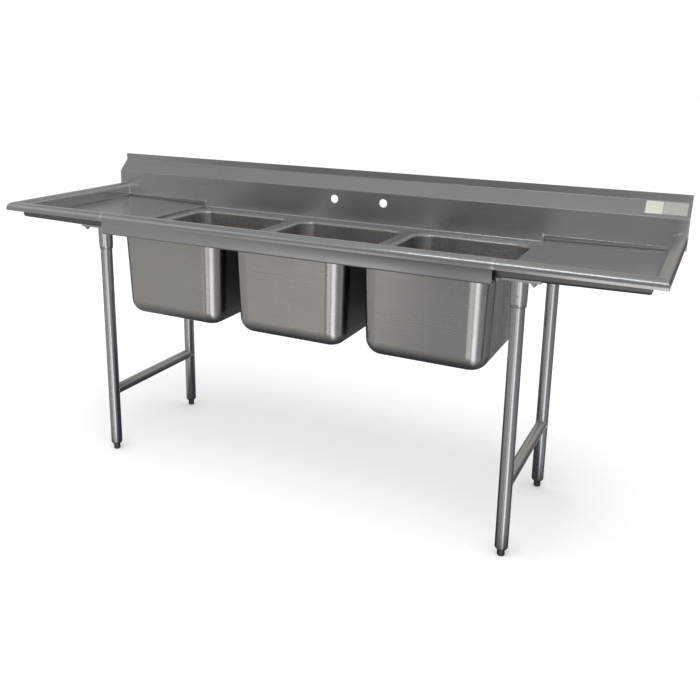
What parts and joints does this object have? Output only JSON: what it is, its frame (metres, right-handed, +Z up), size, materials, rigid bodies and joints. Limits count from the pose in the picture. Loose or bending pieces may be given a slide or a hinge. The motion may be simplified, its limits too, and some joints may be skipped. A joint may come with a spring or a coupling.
{
  "type": "three compartment sink",
  "caption": "Free-standing stainless three compartment sink with two drainboards, rolled rim, splash with faucet holes, tube legs with adjustable feet and lift-out strainers.",
  "frame": {"origin": "on the floor, under the middle of the footprint", "axes": "+X to the user's right along the sink, +Y to the wall, +Z up"},
  "size_m": [2.304, 0.6858, 1.066],
  "materials": {
    "splash_steel": "satin, brushed along the sink",
    "deck_steel": "satin, brushed along the sink",
    "drainboard_steel": "satin, brushed along the sink",
    "bowl_steel": "satin, polished in the corners",
    "weld_bead": "polished weld",
    "fastener_steel": "plain",
    "leg_tube_steel": "polished tube",
    "gusset_steel": "satin",
    "foot_steel": "plain",
    "drain_steel": "bright",
    "drain_rubber": "matt",
    "fibre_ring": "pressed fibre",
    "label_film": "plain printed film, left blank",
    "locknut_brass": "cast"
  },
  "bodies": {
    "sink_frame": {"backsplash": "splash_steel", "sink_top": "deck_steel", "front_apron": "deck_steel", "right_drainboard": "drainboard_steel", "left_drainboard": "drainboard_steel", "rim_end_welds": "weld_bead", "gusset_studs": "fastener_steel", "gusset_nuts": "fastener_steel", "gusset_set_screws": "fastener_steel", "left_side_rail": "leg_tube_steel", "right_side_rail": "leg_tube_steel", "left_blank_label": "label_film", "right_blank_label": "label_film", "left_bowl": "bowl_steel", "left_strainer_body": "drain_steel", "left_drain_gasket": "drain_rubber", "left_friction_ring": "fibre_ring", "left_drain_locknut": "locknut_brass", "center_bowl": "bowl_steel", "center_strainer_body": "drain_steel", "center_drain_gasket": "drain_rubber", "center_friction_ring": "fibre_ring", "center_drain_locknut": "locknut_brass", "right_bowl": "bowl_steel", "right_strainer_body": "drain_steel", "right_drain_gasket": "drain_rubber", "right_friction_ring": "fibre_ring", "right_drain_locknut": "locknut_brass", "front_left_gusset": "gusset_steel", "front_left_leg": "leg_tube_steel", "front_left_foot_insert": "foot_steel", "front_right_gusset": "gusset_steel", "front_right_leg": "leg_tube_steel", "front_right_foot_insert": "foot_steel", "rear_left_gusset": "gusset_steel", "rear_left_leg": "leg_tube_steel", "rear_left_foot_insert": "foot_steel", "rear_right_gusset": "gusset_steel", "rear_right_leg": "leg_tube_steel", "rear_right_foot_insert": "foot_steel"},
    "left_basket": {"left_strainer_basket": "drain_steel", "left_basket_stopper": "drain_rubber", "left_basket_post": "drain_steel"},
    "center_basket": {"center_strainer_basket": "drain_steel", "center_basket_stopper": "drain_rubber", "center_basket_post": "drain_steel"},
    "right_basket": {"right_strainer_basket": "drain_steel", "right_basket_stopper": "drain_rubber", "right_basket_post": "drain_steel"},
    "front_left_adjustable_foot": {"front_left_foot": "foot_steel"},
    "front_right_adjustable_foot": {"front_right_foot": "foot_steel"},
    "rear_left_adjustable_foot": {"rear_left_foot": "foot_steel"},
    "rear_right_adjustable_foot": {"rear_right_foot": "foot_steel"}
  },
  "joints": [
    {"name": "left_basket_lift", "type": "slide", "parent": "sink_frame", "child": "left_basket", "axis": [0, 0, 1], "range_m": [0, 0.4]},
    {"name": "center_basket_lift", "type": "slide", "parent": "sink_frame", "child": "center_basket", "axis": [0, 0, 1], "range_m": [0, 0.4]},
    {"name": "right_basket_lift", "type": "slide", "parent": "sink_frame", "child": "right_basket", "axis": [0, 0, 1], "range_m": [0, 0.4]},
    {"name": "front_left_foot_screw", "type": "slide", "parent": "sink_frame", "child": "front_left_adjustable_foot", "axis": [0, 0, -1], "range_m": [0, 0.025]},
    {"name": "front_right_foot_screw", "type": "slide", "parent": "sink_frame", "child": "front_right_adjustable_foot", "axis": [0, 0, -1], "range_m": [0, 0.025]},
    {"name": "rear_left_foot_screw", "type": "slide", "parent": "sink_frame", "child": "rear_left_adjustable_foot", "axis": [0, 0, -1], "range_m": [0, 0.025]},
    {"name": "rear_right_foot_screw", "type": "slide", "parent": "sink_frame", "child": "rear_right_adjustable_foot", "axis": [0, 0, -1], "range_m": [0, 0.025]}
  ]
}
